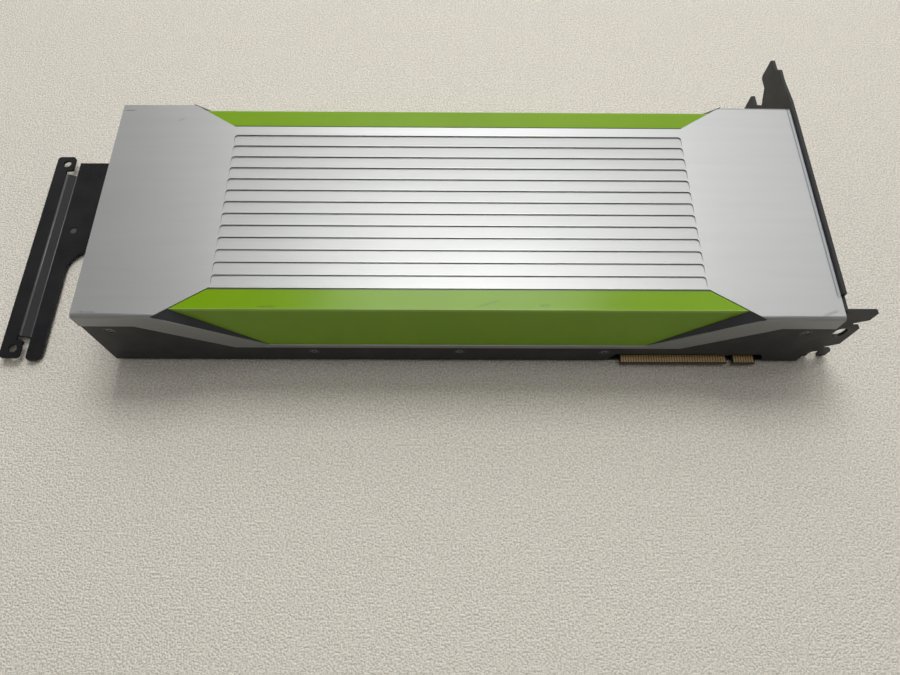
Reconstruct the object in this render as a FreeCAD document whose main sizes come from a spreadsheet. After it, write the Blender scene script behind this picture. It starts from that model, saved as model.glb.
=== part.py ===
import FreeCAD, Part
import os
import re
import Sketcher
from FreeCAD import Placement, Rotation, Vector

# A passive dual-slot accelerator card, lying on its backplate with the silver cover up.
#
# Card coordinates: X runs from the rear end (0) to the slot bracket, Y from the card's top edge (0) to its
# connector edge, and Z up from the surface that the card rests on. Every sub-part is drawn in these
# coordinates and then placed so that the origin lies under the middle of the whole card's footprint.

SIZES = {
    # Whole card
    "card_length": 267.0,
    "card_width": 95.66,
    "card_height": 39.0,
    "seam": 0.1,
    # Cover: one folded sheet with waists, diagonal side bands and a rail along each side
    "cover_skin": 1.2,
    "cover_bend": 1.5,
    "end_band": 27.5,
    "waist_start": 45.7,
    "waist_inset": 11.66,
    "flange_drop": 7.4,
    "flange_run": 19.0,
    "rail_level": 16.0,
    "rail_width": 2.1,
    "rail_start": 50.0,
    "sill_start": 63.0,
    "slat_start": 46.2,
    "slat_pitch": 5.2455,
    "slat_count": 13,
    "slat_depth": 0.5,
    "slat_land": 0.3,
    "slat_round": 1.2,
    # Green trims in the waists
    "trim_recess": 0.3,
    "trim_edge": 3.4,
    "trim_foot": 0.45,
    "trim_wall": 1.2,
    # Black side panels
    "panel_face": 0.5,
    "panel_wall": 2.2,
    "panel_foot": 1.7,
    "facet_depth": 5.0,
    "bridge_gap_start": 191.5,
    "bridge_gap_end": 253.7,
    "bridge_gap_top": 7.5,
    "bridge_gap_slope": 3.0,
    "end_screw_inset": 8.4,
    "end_screw_level": 26.9,
    "low_screw_start": 78.5,
    "low_screw_pitch": 55.6,
    "low_screw_level": 8.9,
    "low_screw_count": 3,
    # Small screws
    "screw_radius": 1.0,
    "screw_head": 1.7,
    "screw_head_height": 0.5,
    "screw_sink": 0.7,
    "screw_length": 3.2,
    "pilot_gap": 0.05,
    # Circuit board
    "board_level": 2.6,
    "board_skin": 1.57,
    "board_start": 0.5,
    "board_end_gap": 0.5,
    "board_edge": 99.0,
    "finger_edge": 109.5,
    "finger_start": 44.5,
    "finger_short": 11.7,
    "finger_notch": 1.9,
    "finger_long": 71.6,
    "finger_notch_depth": 7.7,
    "hook_gap": 4.5,
    "hook_width": 5.0,
    "hook_reach": 8.5,
    "hook_lip": 1.5,
    "bridge_start": 196.8,
    "bridge_long": 41.5,
    "bridge_notch": 2.4,
    "bridge_short": 8.6,
    "bridge_overhang": 1.6,
    "bridge_notch_depth": 3.6,
    "contact_pitch": 1.0,
    "contact_width": 0.7,
    "contact_length": 4.5,
    "contact_inset": 0.5,
    "contact_skin": 0.05,
    "bridge_contact_width": 0.8,
    "bridge_contact_length": 3.0,
    "bridge_contact_inset": 0.3,
    # Processor package, around one centre
    "gpu_x": 144.0,
    "gpu_y": 47.8,
    "gpu_size": 47.5,
    "gpu_skin": 1.6,
    "die_length": 31.0,
    "die_width": 25.0,
    "die_skin": 0.8,
    "stiffener_width": 4.0,
    "stiffener_skin": 0.6,
    "paste_skin": 0.1,
    # Memory, three groups of four packages
    "memory_length": 14.0,
    "memory_width": 12.0,
    "memory_skin": 1.2,
    "memory_pitch": 15.0,
    "memory_row": 37.0,
    "memory_column": 36.0,
    "memory_pad_skin": 1.0,
    # Supply parts
    "choke_x": 96.0,
    "choke_length": 8.0,
    "choke_width": 7.0,
    "choke_height": 3.7,
    "choke_first": 9.5,
    "choke_pitch": 8.2,
    "choke_count": 10,
    "stage_x": 87.0,
    "stage_length": 5.0,
    "stage_width": 6.0,
    "stage_height": 0.8,
    "stage_pad_skin": 1.0,
    "capacitor_x": 74.0,
    "capacitor_length": 7.3,
    "capacitor_width": 4.3,
    "capacitor_height": 2.8,
    "capacitor_first": 14.0,
    "capacitor_pitch": 9.0,
    # Base plate
    "deck_level": 8.4,
    "deck_skin": 2.0,
    "deck_gap": 1.0,
    "rib_wall": 2.0,
    "window_half": 30.0,
    "boss_half": 2.4,
    "post_length": 11.4,
    "post_width": 5.0,
    "end_post_width": 8.0,
    "post_top": 31.0,
    # Heatsink
    "chamber_start": 70.0,
    "chamber_end": 235.0,
    "chamber_inset": 6.5,
    "chamber_skin": 3.0,
    "pedestal_margin": 2.0,
    "fin_start": 20.0,
    "fin_end": 250.0,
    "fin_pitch": 2.2,
    "fin_skin": 0.35,
    "fin_count": 38,
    "fin_top_gap": 0.6,
    # Retention of the processor
    "retention_half": 27.0,
    "retention_reach": 29.8,
    "retention_arm": 7.5,
    "retention_skin": 1.0,
    "standoff_radius": 2.7,
    "rod_radius": 1.2,
    "rod_head": 2.3,
    "rod_head_height": 0.9,
    "rod_length": 6.5,
    # Backplate
    "backplate_skin": 1.2,
    "backplate_start": 9.0,
    "backplate_end_gap": 5.0,
    "backplate_inset": 1.3,
    "backplate_edge": 98.4,
    "backplate_corner": 3.0,
    "backplate_window": 31.0,
    "backplate_rail": 3.4,
    "fastener_first": 34.0,
    "fastener_pitch": 73.0,
    "fastener_inset": 7.0,
    "fastener_count": 4,
    # Supply socket
    "socket_start": 8.8,
    "socket_width": 18.6,
    "socket_depth": 13.0,
    "socket_height": 10.6,
    "socket_gap": 0.6,
    "pin_pitch": 4.2,
    "pin_cavity": 3.6,
    "pin_cavity_depth": 10.0,
    "pin_width": 0.9,
    "pin_length": 7.0,
    "latch_length": 8.0,
    "latch_width": 6.4,
    "latch_height": 1.6,
    # Slot bracket
    "bracket_gap": 0.2,
    "bracket_skin": 1.2,
    "bracket_bend": 1.5,
    "bracket_rise": 1.5,
    "bracket_span": 38.74,
    "bracket_height": 122.2,
    "slot_pitch": 20.32,
    "tab_inset": 3.2,
    "tab_reach": 12.2,
    "tab_low": 0.3,
    "tab_span": 38.5,
    "tab_corner": 1.5,
    "tab_relief": 6.3,
    "tab_slot_offset": 6.9,
    "tab_slot_radius": 2.1,
    "tab_slot_length": 6.9,
    "tab_slot_top": 13.5,
    "tab_notch_depth": 4.5,
    "tab_notch_top": 6.5,
    "tab_notch_neck": 9.1,
    "tab_notch_low": 12.1,
    "tail_center": 8.05,
    "tail_width": 10.3,
    "tail_length": 6.2,
    "tail_valley": 5.0,
    "tail_shoulder": 9.4,
    "taper_start": 28.4,
    "taper_end": 15.8,
    "tail_round": 1.6,
    "vent_first": 14.0,
    "vent_pitch": 5.0,
    "vent_count": 14,
    "vent_width": 3.4,
    "vent_length": 12.6,
    "vent_point": 1.4,
    "vent_low": 6.0,
    "vent_gap": 2.6,
    "bracket_screw_level": 16.0,
    "bracket_screw_gap": 0.8,
    # Extender: one folded sheet beyond the rear end
    "extender_reach": 44.7,
    "extender_skin": 1.0,
    "extender_step": 1.6,
    "strip_width": 6.1,
    "jog_run": 3.4,
    "jog_bend": 2.0,
    "jog_room": 1.0,
    "strip_low": -0.3,
    "strip_high": 97.3,
    "lug_width": 7.9,
    "lug_length": 7.5,
    "lug_relief": 1.9,
    "lug_round": 1.5,
    "relief_round": 1.0,
    "lug_hole_offset": 4.6,
    "lug_hole_inset": 3.9,
    "lug_hole_radius": 1.7,
    "leg_width": 6.0,
    "leg_low": -0.6,
    "leg_round": 3.5,
    "tongue_low": 49.8,
    "tongue_high": 95.2,
    "tongue_end": 7.6,
    "tongue_round": 10.0,
    "dimple_offset": 4.9,
    "dimple_y": 59.3,
    "dimple_radius": 1.6,
    "dimple_depth": 0.3,
    "extender_screw_x": 4.2,
    "extender_screw_first": 56.0,
    "extender_screw_pitch": 30.0,
}

# Places that several sub-parts share
COVER_UNDER = "card_height - cover_skin"
RAIL_LOW = "rail_level - rail_width"
SLAT_TOP = "waist_inset + slat_pitch * slat_count"
TRIM_TOP = "card_height - trim_recess"
PANEL_INNER = "panel_face + panel_wall"
BOARD_TOP = "board_level + board_skin"
DECK_TOP = "deck_level + deck_skin"
MEMORY_TOP = f"{BOARD_TOP} + memory_skin"
MEMORY_BOSS = f"{MEMORY_TOP} + memory_pad_skin"
STAGE_BOSS = f"{BOARD_TOP} + stage_height + stage_pad_skin"
DIE_LEVEL = f"{BOARD_TOP} + gpu_skin"
PASTE_LEVEL = f"{DIE_LEVEL} + die_skin"
PEDESTAL_LEVEL = f"{PASTE_LEVEL} + paste_skin"
FIN_LEVEL = f"{DECK_TOP} + chamber_skin"
FIN_TOP = f"{COVER_UNDER} - fin_top_gap"
BRACKET_START = "card_length + bracket_gap"
BRACKET_FACE = f"{BRACKET_START} + bracket_skin"
BRACKET_TOP = "card_height + bracket_rise"
TAIL_TIP = "tab_inset + bracket_height"
STRIP_LEVEL = "board_level - extender_skin + extender_step"
SOCKET_START_X = "board_start"

# Middle of the footprint
MIDDLE_X = f"({BRACKET_START} + tab_reach - extender_reach) / 2"
MIDDLE_Y = f"({TAIL_TIP} - bridge_overhang) / 2"

PLANE_ROLE = {"XY": "XY_Plane", "XZ": "XZ_Plane", "YZ": "YZ_Plane"}

doc = FreeCAD.newDocument("card")
sheet = doc.addObject("Spreadsheet::Sheet", "Sizes")
for row, (alias, number) in enumerate(SIZES.items(), start=1):
    sheet.set(f"A{row}", alias)
    sheet.set(f"B{row}", str(number))
    sheet.setAlias(f"B{row}", alias)
doc.recompute()

nodes = []


# Formulas


def formula(text):
    """Point each size's name in a formula at its cell."""
    return re.sub(r"[a-z][a-z_]+", lambda word: "Sizes." + word[0] if word[0] in SIZES else word[0], text)


def value(text):
    return float(sheet.evalExpression(formula(text)))


def bind(item, prop, text):
    item.setExpression(prop, formula(text))


def from_end(x):
    """The place as far from the bracket end as x is from the rear end."""
    return f"card_length - ({x})"


def across(y):
    """The place as far from the connector side as y is from the near side."""
    return f"card_width - ({y})"


# Sketches and features


def origin_item(body, role):
    return next(item for item in body.Origin.OriginFeatures if item.Role == role)


def new_body(label):
    body = doc.addObject("PartDesign::Body", label)
    body.AllowCompound = True
    return body


def pin_point(sketch, geometry, point, x, y):
    """Hold one point of the sketch at a place given by two formulas."""
    for kind, text in (("DistanceX", x), ("DistanceY", y)):
        index = sketch.addConstraint(Sketcher.Constraint(kind, -1, 1, geometry, point, value(text)))
        bind(sketch, f"Constraints[{index}]", text)


def outline(sketch, corners):
    first = sketch.GeometryCount
    points = [Vector(value(x), value(y), 0) for x, y in corners]
    count = len(points)
    for index, point in enumerate(points):
        sketch.addGeometry(Part.LineSegment(point, points[(index + 1) % count]))
    for index in range(count):
        following = first + (index + 1) % count
        sketch.addConstraint(Sketcher.Constraint("Coincident", first + index, 2, following, 1))
    for index, (x, y) in enumerate(corners):
        pin_point(sketch, first + index, 1, x, y)


def circle(sketch, x, y, radius):
    shape = Part.Circle(Vector(value(x), value(y), 0), Vector(0, 0, 1), value(radius))
    index = sketch.addGeometry(shape)
    pin_point(sketch, index, 3, x, y)
    limit = sketch.addConstraint(Sketcher.Constraint("Radius", index, value(radius)))
    bind(sketch, f"Constraints[{limit}]", radius)


def upright_slot(sketch, x, low, high, radius):
    """A slot along the sketch's Y from low to high over all, with round ends."""
    mid, wide = value(x), value(radius)
    bottom, top = value(low) + wide, value(high) - wide
    up = Vector(0, 0, 1)
    cap = sketch.addGeometry(
        Part.ArcOfCircle(Part.Circle(Vector(mid, top, 0), up, wide), 0, 3.141592653589793)
    )
    left = sketch.addGeometry(Part.LineSegment(Vector(mid - wide, top, 0), Vector(mid - wide, bottom, 0)))
    cup = sketch.addGeometry(
        Part.ArcOfCircle(Part.Circle(Vector(mid, bottom, 0), up, wide), 3.141592653589793, 6.283185307179586)
    )
    right = sketch.addGeometry(Part.LineSegment(Vector(mid + wide, bottom, 0), Vector(mid + wide, top, 0)))
    for before, after in ((cap, left), (left, cup), (cup, right), (right, cap)):
        sketch.addConstraint(Sketcher.Constraint("Tangent", before, 2, after, 1))
    sketch.addConstraint(Sketcher.Constraint("Equal", cap, cup))
    pin_point(sketch, cap, 3, x, f"({high}) - ({radius})")
    pin_point(sketch, cup, 3, x, f"({low}) + ({radius})")
    limit = sketch.addConstraint(Sketcher.Constraint("Radius", cup, wide))
    bind(sketch, f"Constraints[{limit}]", radius)


def prism(body, plane, start, length, outlines=(), circles=(), slots=(), cut=False):
    """Pad, or pocket with cut, from the place start along the plane's third axis, for the given length."""
    sketch = body.newObject("Sketcher::SketchObject", body.Label + "_sketch")
    sketch.AttachmentSupport = [(origin_item(body, PLANE_ROLE[plane]), "")]
    sketch.MapMode = "FlatFace"
    # The XZ plane's own normal points along -Y.
    bind(sketch, "AttachmentOffset.Base.z", f"-({start})" if plane == "XZ" else start)
    for corners in outlines:
        outline(sketch, corners)
    for place in circles:
        circle(sketch, *place)
    for place in slots:
        upright_slot(sketch, *place)
    feature = body.newObject("PartDesign::Pocket" if cut else "PartDesign::Pad", body.Label + "_feature")
    feature.Profile = sketch
    bind(feature, "Length", length)
    feature.Reversed = (plane == "XZ") != cut
    return feature


def polygon(x, y, radius, sides=8):
    """A regular outline with a flat side upward, as hidden shanks, their holes and standoffs have."""
    corners = []
    for index in range(sides):
        angle = (index + 0.5) * 360 / sides
        corners.append((f"{x} + ({radius}) * cos({angle})", f"{y} + ({radius}) * sin({angle})"))
    return corners


def head_outline(x, y, radius):
    """A small screw's head, or its seat; sixteen sides keep the many round heads light."""
    return polygon(x, y, radius, 16)


def shank_holes(places, gap):
    """Outlines of holes for the larger screws' shanks."""
    return [polygon(x, y, f"rod_radius + {gap}") for x, y in places]


def box_outline(x_low, y_low, x_high, y_high):
    return [(x_low, y_low), (x_high, y_low), (x_high, y_high), (x_low, y_high)]


def repeat(body, feature, axis, pitch, count):
    """Copies of a feature in a row along an origin axis; pitch and count are sizes."""
    pattern = body.newObject("PartDesign::LinearPattern", body.Label + "_row")
    pattern.Originals = [feature]
    pattern.Direction = (origin_item(body, axis), [""])
    bind(pattern, "Length", f"({pitch}) * (({count}) - 1)")
    bind(pattern, "Occurrences", count)
    body.Tip = pattern
    return pattern


def round_edges(body, radius, axis, places):
    """Round the straight edges along one axis that pass through the given places.

    Each place gives the formulas of the other two coordinates, in X, Y, Z order.
    """
    doc.recompute()
    others = [index for index in range(3) if index != axis]
    wanted = [[value(text) for text in place] for place in places]
    names = []
    solid = body.Tip
    for number, edge in enumerate(solid.Shape.Edges, start=1):
        ends = [vertex.Point for vertex in edge.Vertexes]
        if len(ends) != 2 or abs(ends[1][axis] - ends[0][axis]) < 1e-6:
            continue
        here = [ends[0][index] for index in others]
        there = [ends[1][index] for index in others]
        for place in wanted:
            if all(abs(a - c) < 1e-4 and abs(b - c) < 1e-4 for a, b, c in zip(here, there, place)):
                names.append(f"Edge{number}")
    fillet = body.newObject("PartDesign::Fillet", body.Label + "_round")
    fillet.Base = (solid, names)
    bind(fillet, "Radius", radius)
    body.Tip = fillet


def place_node(item, x="0", y="0", z="0"):
    """Put a sub-part at its place in the card and count it among the nodes."""
    bind(item, "Placement.Base.x", f"{x} - {MIDDLE_X}")
    bind(item, "Placement.Base.y", f"{y} - {MIDDLE_Y}")
    bind(item, "Placement.Base.z", z)
    nodes.append(item)


def block(label, start, size):
    """A plain rectangular sub-part."""
    item = doc.addObject("Part::Box", label)
    for prop, text in zip(("Length", "Width", "Height"), size):
        bind(item, prop, text)
    place_node(item, *start)


def copies(label, source, places, turn=Rotation()):
    """One node of separate, equal solids, each at a place given by three formulas."""
    links = []
    for number, spot in enumerate(places, start=1):
        link = doc.addObject("App::Link", f"{label}_{number}")
        link.LinkedObject = source
        link.Placement = Placement(Vector(), spot[3] if len(spot) > 3 else turn)
        for axis, text in zip("xyz", spot):
            bind(link, f"Placement.Base.{axis}", text)
        links.append(link)
    group = doc.addObject("Part::Compound", label)
    group.Links = links
    place_node(group)


def screw(label, head_radius, head_height, shank_radius, shank_length):
    """A low-head screw with its head's top at the origin and its shank along +Z."""
    body = new_body(label)
    prism(body, "XY", "0", head_height, [head_outline("0", "0", head_radius)])
    prism(body, "XY", head_height, shank_length, [polygon("0", "0", shank_radius)])
    return body


# Cover and side trims


def band_lower_edge(gap="0"):
    """The lower edge of the cover's side band, from the rear end to the bracket end."""
    low = f"card_height - flange_drop - {gap}"
    foot = f"{RAIL_LOW} - {gap}"
    return [
        ("-1", low),
        ("flange_run", low),
        ("rail_start", foot),
        (from_end("rail_start"), foot),
        (from_end("flange_run"), low),
        ("card_length + 1", low),
    ]


def window_outline(top):
    """The opening above the rail; its sloped ends run from the sill to the cover's corners."""
    start = f"end_band + (sill_start - end_band) * (card_height - ({top})) / (card_height - rail_level)"
    return [
        ("sill_start", "rail_level"),
        (from_end("sill_start"), "rail_level"),
        (from_end(start), top),
        (start, top),
    ]


def waist_outline(side):
    """The part that the waist takes out of the cover's plate, open to the outside."""
    return [
        ("end_band", side("-1")),
        (from_end("end_band"), side("-1")),
        (from_end("end_band"), side("0")),
        (from_end("waist_start"), side("waist_inset")),
        ("waist_start", side("waist_inset")),
        ("end_band", side("0")),
    ]


def make_cover():
    body = new_body("cover")
    section = [
        ("0", "card_height"),
        ("0", RAIL_LOW),
        ("cover_skin", RAIL_LOW),
        ("cover_skin", COVER_UNDER),
        (across("cover_skin"), COVER_UNDER),
        (across("cover_skin"), RAIL_LOW),
        (across("0"), RAIL_LOW),
        (across("0"), "card_height"),
    ]
    prism(body, "YZ", "0", "card_length", [section])
    round_edges(body, "cover_bend", 0, [("0", "card_height"), ("card_width", "card_height")])
    # Below the band the flanges end on the diagonal, at both ends of the card.
    edge = band_lower_edge()
    rear = edge[:3] + [("rail_start", f"{RAIL_LOW} - 1"), ("-1", f"{RAIL_LOW} - 1")]
    front = edge[3:] + [("card_length + 1", f"{RAIL_LOW} - 1"), (from_end("rail_start"), f"{RAIL_LOW} - 1")]
    prism(body, "XZ", "-1", "card_width + 2", [rear, front], cut=True)
    depth = "cover_skin + cover_bend"
    prism(body, "XZ", "-1", f"{depth} + 1", [window_outline(COVER_UNDER)], cut=True)
    prism(body, "XZ", across(depth), f"{depth} + 1", [window_outline(COVER_UNDER)], cut=True)
    waists = [waist_outline(str), waist_outline(across)]
    prism(body, "XY", COVER_UNDER, "cover_skin + 1", waists, cut=True)
    # Each slat is a shallow ramp that drops behind a step facing the card's top edge.
    step = [
        ("waist_inset + slat_pitch", "card_height"),
        ("waist_inset + slat_land", "card_height"),
        ("waist_inset + slat_pitch", "card_height - slat_depth"),
    ]
    slat = prism(body, "YZ", "slat_start", "card_length - 2 * slat_start", [step], cut=True)
    repeat(body, slat, "Y_Axis", "slat_pitch", "slat_count")
    # The steps curve down into the slats' ends.
    corners = []
    for number in range(1, int(value("slat_count")) + 1):
        step_y = f"waist_inset + slat_pitch * {number}"
        corners += [("slat_start", step_y), (from_end("slat_start"), step_y)]
    round_edges(body, "slat_round", 2, corners)
    place_node(body)


def facet_corner_x():
    """Where the trim's upper edge meets the waist's diagonal."""
    return "end_band + (waist_start - end_band) * trim_edge / waist_inset"


def make_trim(label, side):
    """A folded trim: a level strip inside the waist and a sloped side above the rail."""
    body = new_body(label)
    under = f"{TRIM_TOP} - trim_wall"
    section = [
        (side("waist_inset - seam"), TRIM_TOP),
        (side("trim_edge"), TRIM_TOP),
        (side("trim_foot"), "rail_level"),
        (side("trim_foot + trim_wall"), "rail_level"),
        (side("trim_edge + trim_wall"), under),
        (side("waist_inset - seam"), under),
    ]
    prism(body, "YZ", "end_band", "card_length - 2 * end_band", [section])
    # The sloped side ends on the line from the waist's diagonal down to the end of the sill.
    corner = facet_corner_x()
    slope = f"(sill_start - ({corner})) / ({TRIM_TOP} - rail_level)"
    high = f"{corner} + seam - {slope} * (1 + trim_recess)"
    low = f"sill_start + seam + {slope}"
    beyond = "end_band - 1"
    for turn in (str, from_end):
        ends = [
            (turn(beyond), "card_height + 1"),
            (turn(high), "card_height + 1"),
            (turn(low), "rail_level - 1"),
            (turn(beyond), "rail_level - 1"),
        ]
        prism(body, "XZ", "-1", "card_width + 2", [ends], cut=True)
        # The level strip ends on the waist's diagonal.
        diagonal = [
            (turn("end_band + 2 * seam"), side("0")),
            (turn("waist_start + 2 * seam"), side("waist_inset")),
            (turn(beyond), side("waist_inset")),
            (turn(beyond), side("0")),
        ]
        prism(body, "XY", f"{under} - 1", "trim_wall + 2", [diagonal], cut=True)
    place_node(body)


# Side panels


def low_screw_places():
    count = int(value("low_screw_count"))
    return [(f"low_screw_start + {index} * low_screw_pitch", "low_screw_level") for index in range(count)]


def side_screw_places():
    ends = [("end_screw_inset", "end_screw_level"), (from_end("end_screw_inset"), "end_screw_level")]
    return ends + low_screw_places()


def make_corner_facet(label, turn, side):
    """The sloped triangular facet between the band, the trim's end and the waist's diagonal.

    It is a three-sided prism along Y whose outer end is the facet, with the cover's plate cut away.
    """
    face = [
        Vector(value(turn("end_band")), value(side("0")), value("card_height")),
        Vector(value(turn(facet_corner_x())), value(side("trim_edge")), value(TRIM_TOP)),
        Vector(value(turn("sill_start")), value(side("trim_foot")), value("rail_level")),
    ]
    inner = [Vector(point.x, value(side("facet_depth")), point.z) for point in face]
    faces = [Part.Face(Part.makePolygon(ring + ring[:1])) for ring in (face, inner)]
    for index in range(3):
        following = (index + 1) % 3
        ring = [face[index], face[following], inner[following], inner[index], face[index]]
        faces.append(Part.Face(Part.makePolygon(ring)))
    wedge = Part.makeSolid(Part.makeShell(faces))
    if wedge.Volume < 0:
        wedge.reverse()
    beyond = "end_band - 1"
    corner = [("end_band", "0"), ("waist_start", "waist_inset"), (beyond, "waist_inset"), (beyond, "0")]
    ring = [Vector(value(turn(x)), value(side(y)), value(COVER_UNDER)) for x, y in corner]
    plate = Part.Face(Part.makePolygon(ring + ring[:1])).extrude(Vector(0, 0, value("cover_skin + 1")))
    facet = doc.addObject("Part::Feature", label)
    facet.Shape = wedge.cut(plate)
    return facet


def make_side_panel(label, side, foot, bridge_gap):
    body = new_body(label + "_wall")
    window = window_outline(COVER_UNDER)
    wall = [("0", foot)]
    if bridge_gap:
        wall += [
            ("bridge_gap_start", foot),
            ("bridge_gap_start + bridge_gap_slope", "bridge_gap_top"),
            ("bridge_gap_end - bridge_gap_slope", "bridge_gap_top"),
            ("bridge_gap_end", foot),
        ]
    wall += [("card_length", foot), ("card_length", COVER_UNDER)]
    wall += [window[2], window[1], window[0], window[3]]
    wall += [("0", COVER_UNDER)]
    near = side is str
    start = "panel_face" if near else across(PANEL_INNER)
    prism(body, "XZ", start, "panel_wall", [wall])
    # The cover's flange lies in a rebate above the diagonal.
    rebate = band_lower_edge("seam") + [("card_length + 1", "card_height"), ("-1", "card_height")]
    depth = "cover_skin - panel_face + seam"
    sunk = "panel_face" if near else across(f"panel_face + {depth}")
    prism(body, "XZ", sunk, depth, [rebate], cut=True)
    holes = [polygon(x, z, "screw_radius + pilot_gap") for x, z in side_screw_places()]
    seats = [head_outline(x, z, "screw_head + pilot_gap") for x, z in side_screw_places()]
    prism(body, "XZ", start, "panel_wall", holes, cut=True)
    seat_start = "panel_face" if near else across("panel_face + screw_sink")
    prism(body, "XZ", seat_start, "screw_sink", seats, cut=True)
    rear = make_corner_facet(label + "_rear_facet", str, side)
    front = make_corner_facet(label + "_front_facet", from_end, side)
    panel = doc.addObject("Part::MultiFuse", label)
    panel.Shapes = [body, rear, front]
    place_node(panel)


def make_side_screws():
    source = screw("side_screw", "screw_head", "screw_head_height", "screw_radius", "screw_length")
    inward = Rotation(Vector(1, 0, 0), -90)
    outward = Rotation(Vector(1, 0, 0), 90)
    head = "panel_face + screw_sink - screw_head_height"
    places = [(x, head, z, inward) for x, z in side_screw_places()]
    places += [(x, across(head), z, outward) for x, z in side_screw_places()]
    copies("side_screws", source, places)


# Circuit board and what is soldered on it


def fastener_places():
    """Backplate screws: one row along each side of the board."""
    count = int(value("fastener_count"))
    along = [f"fastener_first + {index} * fastener_pitch" for index in range(count)]
    return [(x, side("fastener_inset")) for side in (str, across) for x in along]


def extender_screw_places():
    rows = ["extender_screw_first", "extender_screw_first + extender_screw_pitch"]
    return [("extender_screw_x", y) for y in rows]


def retention_places():
    signs = ((-1, -1), (1, -1), (-1, 1), (1, 1))
    return [(f"gpu_x + {a} * retention_half", f"gpu_y + {b} * retention_half") for a, b in signs]


def make_circuit_board():
    body = new_body("circuit_board")
    near = f"{PANEL_INNER} + seam"
    end = from_end("board_end_gap")
    bridge_notch = "bridge_start + bridge_long"
    bridge_second = f"{bridge_notch} + bridge_notch"
    bridge_end = f"{bridge_second} + bridge_short"
    overhang = "-bridge_overhang"
    short_end = f"{BRACKET_START} - finger_start"
    notch_end = f"{short_end} - finger_short"
    long_end = f"{notch_end} - finger_notch"
    tongue_end = f"{long_end} - finger_long"
    notch_bottom = "finger_edge - finger_notch_depth"
    hook_side = f"{tongue_end} - hook_gap"
    hook_end = f"{hook_side} - hook_width"
    lip = "board_edge + hook_reach / 2"
    edge = [
        ("board_start", near),
        ("bridge_start", near),
        ("bridge_start", overhang),
        (bridge_notch, overhang),
        (bridge_notch, f"bridge_notch_depth - bridge_overhang"),
        (bridge_second, f"bridge_notch_depth - bridge_overhang"),
        (bridge_second, overhang),
        (bridge_end, overhang),
        (bridge_end, near),
        (end, near),
        (end, "board_edge"),
        (short_end, "board_edge"),
        (short_end, "finger_edge"),
        (notch_end, "finger_edge"),
        (notch_end, notch_bottom),
        (long_end, notch_bottom),
        (long_end, "finger_edge"),
        (tongue_end, "finger_edge"),
        (tongue_end, "board_edge"),
        (hook_side, "board_edge"),
        (hook_side, lip),
        (f"{hook_side} + hook_lip", lip),
        (f"{hook_side} + hook_lip", "board_edge + hook_reach"),
        (hook_end, "board_edge + hook_reach"),
        (hook_end, "board_edge"),
        ("board_start", "board_edge"),
    ]
    prism(body, "XY", "board_level", "board_skin", [edge])
    places = fastener_places() + extender_screw_places() + retention_places()
    prism(body, "XY", "board_level", "board_skin", shank_holes(places, "2 * seam"), cut=True)
    place_node(body)


def contact_row(body, start, room, edge, length, width):
    """A row of flat contacts on both faces of the board, centred in the room that its tongue gives."""
    count = f"floor(({room}) / contact_pitch)"
    first = f"({start}) + (({room}) - ({count} - 1) * contact_pitch - ({width})) / 2"
    low, high = edge
    for level in (BOARD_TOP, "board_level - contact_skin"):
        pad = prism(body, "XY", level, "contact_skin", [box_outline(first, low, f"{first} + {width}", high)])
        repeat(body, pad, "X_Axis", "contact_pitch", count)


def make_contacts():
    edge = new_body("edge_contacts")
    high = "finger_edge - contact_inset"
    span = (f"{high} - contact_length", high)
    short_start = f"{BRACKET_START} - finger_start - finger_short"
    long_start = f"{short_start} - finger_notch - finger_long"
    contact_row(edge, short_start, "finger_short", span, "contact_length", "contact_width")
    contact_row(edge, long_start, "finger_long", span, "contact_length", "contact_width")
    place_node(edge)
    bridge = new_body("bridge_contacts")
    low = "bridge_contact_inset - bridge_overhang"
    span = (low, f"{low} + bridge_contact_length")
    second = "bridge_start + bridge_long + bridge_notch"
    contact_row(bridge, "bridge_start", "bridge_long", span, "bridge_contact_length", "bridge_contact_width")
    contact_row(bridge, second, "bridge_short", span, "bridge_contact_length", "bridge_contact_width")
    place_node(bridge)


def make_processor():
    half = "gpu_size / 2"
    block(
        "gpu_substrate",
        (f"gpu_x - {half}", f"gpu_y - {half}", BOARD_TOP),
        ("gpu_size", "gpu_size", "gpu_skin"),
    )
    die = ("gpu_x - die_length / 2", "gpu_y - die_width / 2")
    block("gpu_die", (*die, DIE_LEVEL), ("die_length", "die_width", "die_skin"))
    block("thermal_paste", (*die, PASTE_LEVEL), ("die_length", "die_width", "paste_skin"))
    ring = new_body("gpu_stiffener")
    inner = f"({half} - stiffener_width)"
    outlines = [
        box_outline(f"gpu_x - {half}", f"gpu_y - {half}", f"gpu_x + {half}", f"gpu_y + {half}"),
        box_outline(f"gpu_x - {inner}", f"gpu_y - {inner}", f"gpu_x + {inner}", f"gpu_y + {inner}"),
    ]
    prism(ring, "XY", DIE_LEVEL, "stiffener_skin", outlines)
    place_node(ring)


def make_memory():
    number = 0
    column = "gpu_x + memory_column - memory_width / 2"
    for index in range(4):
        offset = f"({index} - 1.5) * memory_pitch"
        for y in ("gpu_y - memory_row", "gpu_y + memory_row"):
            number += 1
            start = (f"gpu_x + {offset} - memory_length / 2", f"{y} - memory_width / 2", BOARD_TOP)
            block(f"memory_chip_{number:02d}", start, ("memory_length", "memory_width", "memory_skin"))
        number += 1
        start = (column, f"gpu_y + {offset} - memory_length / 2", BOARD_TOP)
        block(f"memory_chip_{number:02d}", start, ("memory_width", "memory_length", "memory_skin"))
    for name, (start, size) in memory_pads().items():
        block(name, (*start, MEMORY_TOP), (*size, "memory_pad_skin"))


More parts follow.
